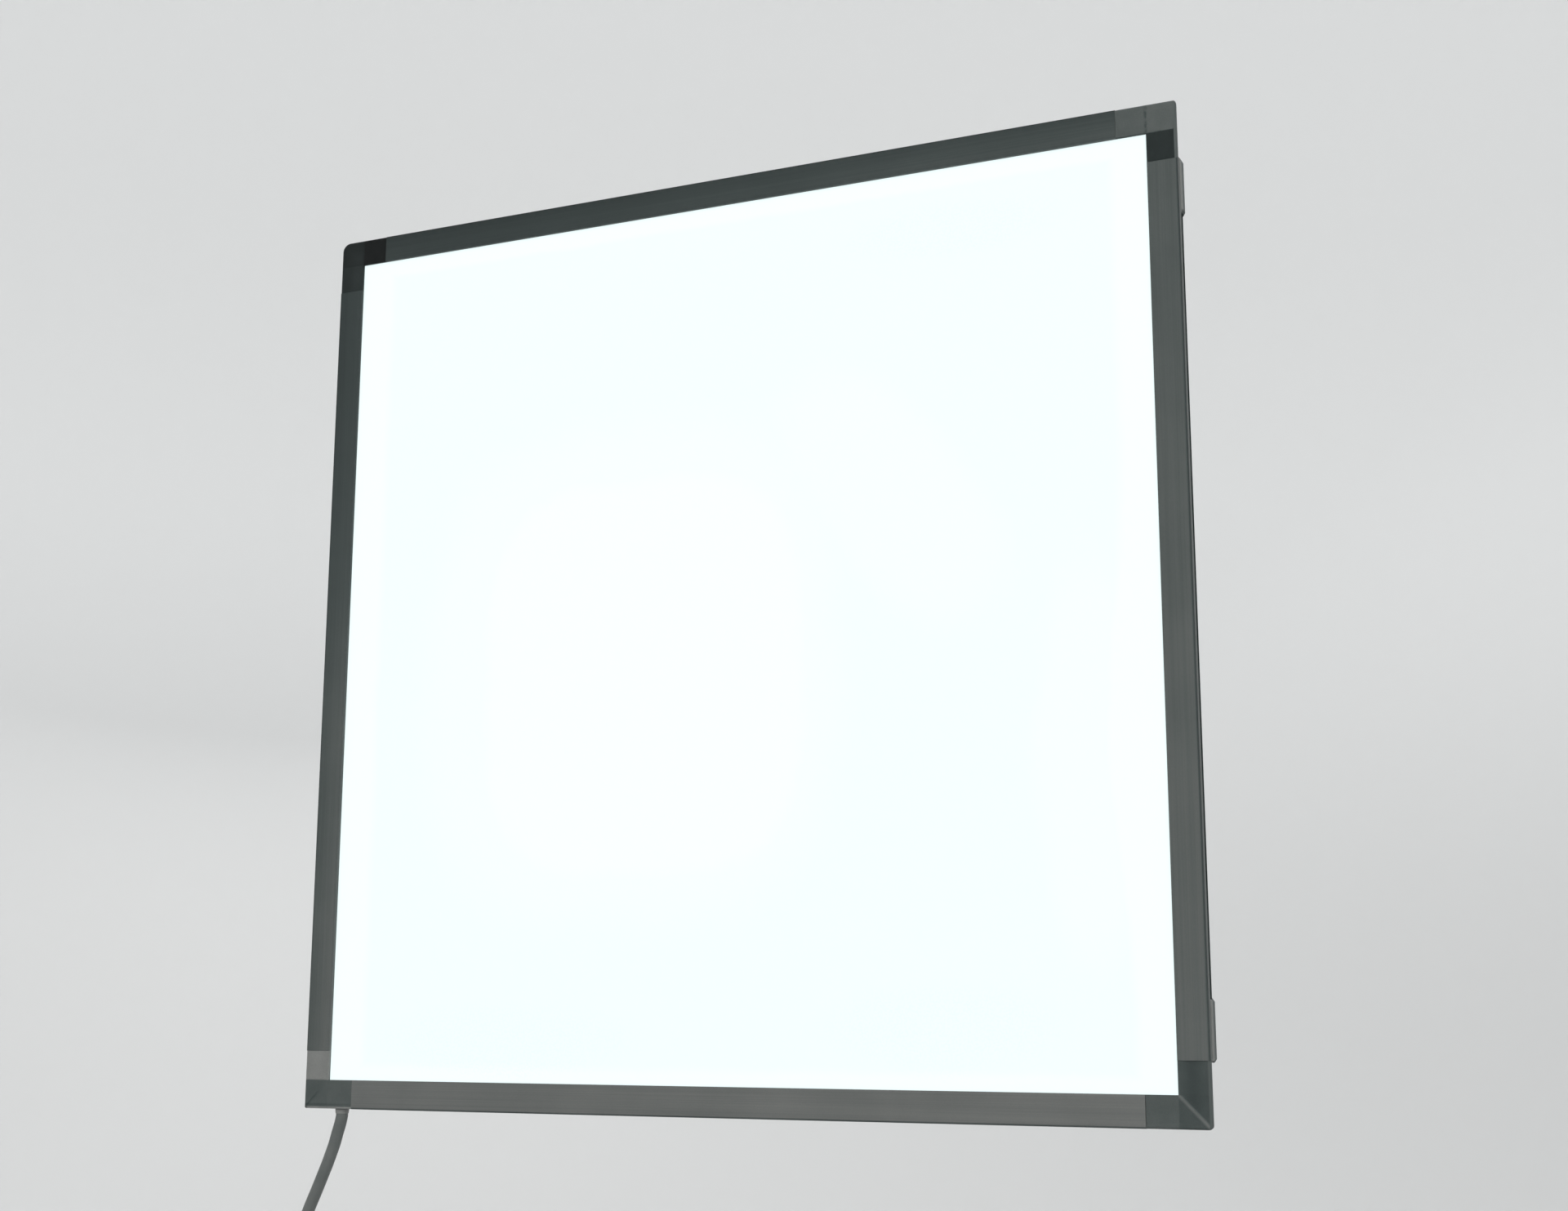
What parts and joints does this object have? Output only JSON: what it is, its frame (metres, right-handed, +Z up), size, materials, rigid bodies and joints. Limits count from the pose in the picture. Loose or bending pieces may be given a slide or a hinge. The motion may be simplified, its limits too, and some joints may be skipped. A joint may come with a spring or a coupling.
{
  "type": "led panel light",
  "caption": "Slim square edge-lit LED panel light: an opal lit face in a thin metal frame with moulded corners, sliding side clips and a captive lead on a barrel plug.",
  "frame": {"origin": "centre of the back cover's flat outer face, which a bracket, magnet sheet or wall holds", "axes": "+X to the right seen from the lit front, +Y to the rear out of the back cover, +Z up; the lit face looks along -Y"},
  "size_m": [0.3443, 0.0218, 0.4733],
  "materials": {
    "anodised_frame": "satin dark grey anodised, fine extrusion lines",
    "moulded_corner": "satin moulded dark grey",
    "moulded_clip": "satin moulded mid grey",
    "opal_face": "opal, lit from behind",
    "clear_film": "translucent film",
    "clear_guide": "clear acrylic sheet",
    "white_reflector": "white film",
    "black_foam": "closed-cell foam",
    "rear_cover": "satin dark grey anodised",
    "led_board": "white solder resist",
    "red_wire": "red insulation",
    "black_wire": "black insulation",
    "screw_steel": "plain steel",
    "grey_cord": "soft grey PVC jacket",
    "black_mould": "satin black PVC",
    "plug_nickel": "bright nickel plate",
    "plug_tip": "yellow insulator",
    "woven_tie": "hook-and-loop strap"
  },
  "bodies": {
    "panel": {"back_cover": "rear_cover", "cable_grommet": "grey_cord", "cable_tie": "woven_tie", "cord_coil": "grey_cord", "cord_lead": "grey_cord", "cord_tail": "grey_cord", "corner_bottom_left": "moulded_corner", "corner_bottom_right": "moulded_corner", "corner_top_left": "moulded_corner", "corner_top_right": "moulded_corner", "cover_screw_bottom_1": "screw_steel", "cover_screw_bottom_2": "screw_steel", "cover_screw_bottom_3": "screw_steel", "cover_screw_left_1": "screw_steel", "cover_screw_left_2": "screw_steel", "cover_screw_left_3": "screw_steel", "cover_screw_right_1": "screw_steel", "cover_screw_right_2": "screw_steel", "cover_screw_right_3": "screw_steel", "cover_screw_top_1": "screw_steel", "cover_screw_top_2": "screw_steel", "cover_screw_top_3": "screw_steel", "diffuser_film": "clear_film", "foam_pad": "black_foam", "frame_bottom": "anodised_frame", "frame_left": "anodised_frame", "frame_right": "anodised_frame", "frame_top": "anodised_frame", "front_diffuser": "opal_face", "jumper_wire_negative": "black_wire", "jumper_wire_positive": "red_wire", "lead_wire_negative": "black_wire", "lead_wire_positive": "red_wire", "led_strip_bottom": "led_board", "led_strip_top": "led_board", "light_guide": "clear_guide", "plug_barrel": "plug_nickel", "plug_body": "black_mould", "plug_insulator": "plug_tip", "prism_film": "clear_film", "reflector_sheet": "white_reflector"},
    "left_bottom_clip": {"side_clip_left_bottom": "moulded_clip"},
    "left_top_clip": {"side_clip_left_top": "moulded_clip"},
    "right_bottom_clip": {"side_clip_right_bottom": "moulded_clip"},
    "right_top_clip": {"side_clip_right_top": "moulded_clip"}
  },
  "joints": [
    {"name": "left_bottom_clip_slide", "type": "slide", "parent": "panel", "child": "left_bottom_clip", "axis": [0, 0, 1], "range_m": [0, 0.11]},
    {"name": "left_top_clip_slide", "type": "slide", "parent": "panel", "child": "left_top_clip", "axis": [0, 0, -1], "range_m": [0, 0.11]},
    {"name": "right_bottom_clip_slide", "type": "slide", "parent": "panel", "child": "right_bottom_clip", "axis": [0, 0, 1], "range_m": [0, 0.11]},
    {"name": "right_top_clip_slide", "type": "slide", "parent": "panel", "child": "right_top_clip", "axis": [0, 0, -1], "range_m": [0, 0.11]}
  ]
}
